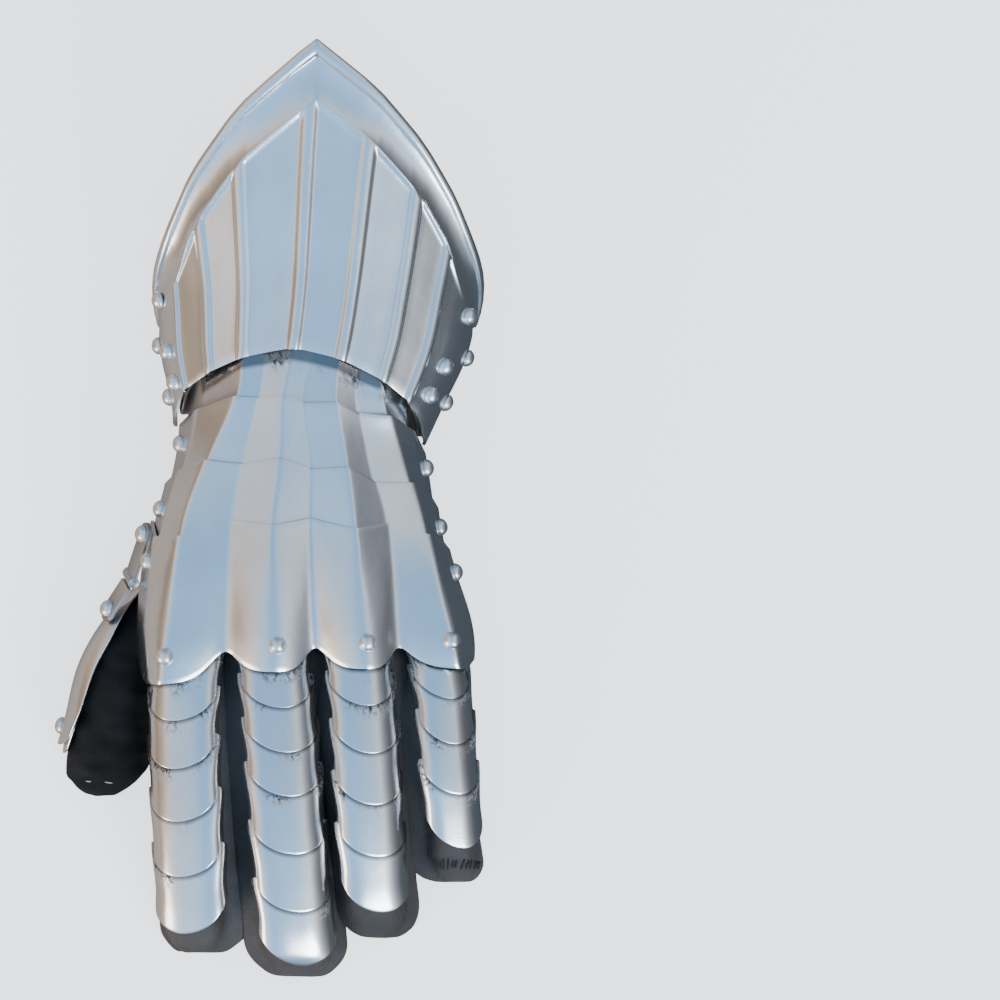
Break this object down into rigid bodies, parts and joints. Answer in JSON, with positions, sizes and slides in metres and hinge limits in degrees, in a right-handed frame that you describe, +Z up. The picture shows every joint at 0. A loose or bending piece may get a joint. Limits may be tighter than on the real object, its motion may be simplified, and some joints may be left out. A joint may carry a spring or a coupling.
{
  "type": "armoured gauntlet",
  "caption": "Steel gauntlet for a left hand: pointed fluted cuff, overlapping wrist lames, scalloped hand plate, scaled fingers and a hinged thumb over a leather glove.",
  "frame": {"origin": "middle of the gauntlet's footprint, on the surface it rests on", "axes": "+Z up; it lies palm down with the fingers towards -Y, the cuff towards +Y and the thumb at -X"},
  "size_m": [0.1624, 0.3402, 0.1067],
  "materials": {
    "plate_steel": "satin polish with fine brushing, bright edges and a little grime under the laps",
    "rivet_steel": "polished domes",
    "hinge_steel": "plain, a little dull",
    "leather": "charcoal, smooth on the fingers and napped on the thumb"
  },
  "bodies": {
    "hand": {"metacarpal_plate": "plate_steel", "rivet_pivot_lame_3_thumb_side": "rivet_steel", "rivet_pivot_lame_3_outer_side": "rivet_steel", "rivet_knuckle_index": "rivet_steel", "rivet_knuckle_middle": "rivet_steel", "rivet_knuckle_ring": "rivet_steel", "rivet_knuckle_little": "rivet_steel", "scale_index_1": "plate_steel", "scale_index_2": "plate_steel", "scale_index_3": "plate_steel", "scale_index_4": "plate_steel", "scale_index_5": "plate_steel", "glove_index": "leather", "scale_middle_1": "plate_steel", "scale_middle_2": "plate_steel", "scale_middle_3": "plate_steel", "scale_middle_4": "plate_steel", "scale_middle_5": "plate_steel", "scale_middle_6": "plate_steel", "glove_middle": "leather", "scale_ring_1": "plate_steel", "scale_ring_2": "plate_steel", "scale_ring_3": "plate_steel", "scale_ring_4": "plate_steel", "scale_ring_5": "plate_steel", "glove_ring": "leather", "scale_little_1": "plate_steel", "scale_little_2": "plate_steel", "scale_little_3": "plate_steel", "scale_little_4": "plate_steel", "glove_little": "leather", "glove_hand": "leather", "glove_thumb": "leather", "thumb_plate": "plate_steel", "thumb_tip_plate": "plate_steel", "hinge_upper_leaf": "hinge_steel", "hinge_lower_leaf": "hinge_steel", "rivet_hinge_upper": "rivet_steel", "rivet_hinge_lower": "rivet_steel", "rivet_thumb": "rivet_steel"},
    "lame_3": {"wrist_lame_3": "plate_steel", "rivet_pivot_lame_2_thumb_side": "rivet_steel", "rivet_pivot_lame_2_outer_side": "rivet_steel"},
    "lame_2": {"wrist_lame_2": "plate_steel", "rivet_pivot_lame_1_thumb_side": "rivet_steel", "rivet_pivot_lame_1_outer_side": "rivet_steel"},
    "lame_1": {"wrist_lame_1": "plate_steel"},
    "cuff": {"cuff_plate": "plate_steel", "cuff_under_plate": "plate_steel", "rivet_cuff_thumb_side_1": "rivet_steel", "rivet_cuff_thumb_side_2": "rivet_steel", "rivet_cuff_thumb_side_3": "rivet_steel", "rivet_cuff_thumb_side_4": "rivet_steel", "rivet_cuff_outer_side_1": "rivet_steel", "rivet_cuff_outer_side_2": "rivet_steel", "rivet_cuff_outer_side_3": "rivet_steel", "rivet_cuff_outer_side_4": "rivet_steel", "rivet_pivot_cuff_thumb_side": "rivet_steel", "rivet_pivot_cuff_outer_side": "rivet_steel"}
  },
  "joints": [
    {"name": "metacarpal_over_lame_3", "type": "hinge", "parent": "hand", "child": "lame_3", "pos_m": [0.0122, -0.01755, 0.03983], "axis": [0.997, -0.0317, -0.0702], "range_deg": [-6, 1]},
    {"name": "lame_3_over_lame_2", "type": "hinge", "parent": "lame_3", "child": "lame_2", "pos_m": [0.0115, 0.0007, 0.03678], "axis": [0.9978, -0.0637, -0.0198], "range_deg": [-6, 1]},
    {"name": "lame_2_over_lame_1", "type": "hinge", "parent": "lame_2", "child": "lame_1", "pos_m": [0.01263, 0.02387, 0.03733], "axis": [0.995, -0.0969, -0.0226], "range_deg": [-6, 1]},
    {"name": "cuff_over_lame_1", "type": "hinge", "parent": "lame_1", "child": "cuff", "pos_m": [0.01421, 0.04486, 0.03794], "axis": [0.9998, -0.0195, -0.0019], "range_deg": [-3, 8]}
  ]
}
